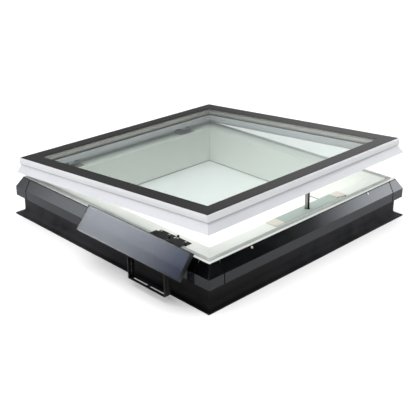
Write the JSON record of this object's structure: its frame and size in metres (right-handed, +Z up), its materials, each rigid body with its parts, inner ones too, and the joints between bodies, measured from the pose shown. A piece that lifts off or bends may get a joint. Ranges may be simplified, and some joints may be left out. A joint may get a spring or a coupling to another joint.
{
  "type": "roof skylight",
  "caption": "Opening flat-roof window: flanged upstand, insulated white frame, dark cladding, hinged glazed sash, chain opener and side solar panel.",
  "frame": {"origin": "centre of the base, on the roof deck, in the middle of the four fixing holes", "axes": "+Z up out of the roof; -Y is the opening side with the chain, +Y the hinge side; -X is the side with the solar panel"},
  "size_m": [1.1209, 1.054, 0.3131],
  "materials": {
    "upstand_black": "satin black, moulded",
    "frame_white": "white, smooth",
    "foam_grey": "grey foam",
    "seal_grey": "grey rubber",
    "clip_black": "black",
    "screw_steel": "bright",
    "housing_grey": "grey",
    "cover_green_grey": "green-grey, satin",
    "cap_beige": "beige",
    "motor_steel": "drawn steel can",
    "gearbox_black": "black",
    "board_green": "green",
    "battery_wrap": "blue wrap",
    "sensor_black": "black",
    "hinge_steel": "zinc plated",
    "pin_steel": "turned",
    "panel_frame_dark": "dark, satin",
    "panel_cell_blue": "dark blue cells",
    "panel_glass": "clear over blue-grey",
    "bracket_black": "black powder coat",
    "sash_white": "white, smooth",
    "trim_white": "white, smooth",
    "bond_black": "black sealant",
    "window_glass": "clear, faint green",
    "spacer_bar": "grey-brown",
    "gasket_dark": "black rubber",
    "chain_bright": "bright",
    "chain_dark": "dark",
    "cladding_dark": "anthracite powder coat, semi-gloss",
    "corner_dark": "anthracite, semi-gloss"
  },
  "bodies": {
    "frame": {"upstand": "upstand_black", "frame_profile": "frame_white", "core_outer": "foam_grey", "core_inner": "foam_grey", "weather_seal": "seal_grey", "cladding_front": "cladding_dark", "cladding_right": "cladding_dark", "cladding_back": "cladding_dark", "cladding_left": "cladding_dark", "corner_front_right": "corner_dark", "corner_back_right": "corner_dark", "corner_back_left": "corner_dark", "corner_front_left": "corner_dark", "cladding_clips": "clip_black", "cladding_screws": "screw_steel", "opener_housing": "housing_grey", "opener_cover": "cover_green_grey", "cover_end_left": "cap_beige", "cover_end_right": "cap_beige", "motor": "motor_steel", "gearbox": "gearbox_black", "control_board": "board_green", "battery_cells": "battery_wrap", "closing_sensor": "sensor_black", "hinge_frame_leaves": "hinge_steel", "hinge_pins": "pin_steel", "hinge_frame_screws": "screw_steel", "panel_tray": "panel_frame_dark", "panel_cells": "panel_cell_blue", "panel_glass": "panel_glass", "cable_gland": "sensor_black", "panel_arm_rear": "bracket_black", "panel_arm_front": "bracket_black", "panel_stirrup": "bracket_black", "panel_screws": "screw_steel", "arm_screws": "screw_steel"},
    "sash": {"sash_profile": "sash_white", "sash_trim": "trim_white", "glass_bond": "bond_black", "outer_pane": "window_glass", "spacer": "spacer_bar", "edge_seal": "bond_black", "inner_pane": "window_glass", "glazing_seal": "gasket_dark", "hinge_sash_leaves": "hinge_steel", "hinge_sash_screws": "screw_steel", "chain_bracket": "hinge_steel", "bracket_screws": "screw_steel", "head_pin": "pin_steel"},
    "chain": {"chain_head": "chain_bright", "chain_outer_plates": "chain_bright", "chain_inner_plates": "chain_dark", "chain_pins": "pin_steel", "chain_rollers": "chain_dark"},
    "sprocket": {"drive_sprocket": "pin_steel", "drive_shaft": "pin_steel"}
  },
  "joints": [
    {"name": "sash_hinge", "type": "hinge", "parent": "frame", "child": "sash", "pos_m": [0, 0.468, 0.161], "axis": [-1, 0, 0], "range_deg": [-4.89, 2.61]},
    {"name": "chain_pin", "type": "hinge", "parent": "sash", "child": "chain", "pos_m": [0.038, -0.4371, 0.24546], "axis": [-1, 0, 0], "range_deg": [-1.5, 2.7]},
    {"name": "sprocket_shaft", "type": "hinge", "parent": "frame", "child": "sprocket", "pos_m": [0.038, -0.45055, 0.137], "axis": [1, 0, 0], "range_deg": [-466, 250]}
  ],
  "couplings": [
    {"joint": "chain_pin", "follows": "sash_hinge", "ratio": -0.53},
    {"joint": "sprocket_shaft", "follows": "sash_hinge", "ratio": 95.065}
  ]
}
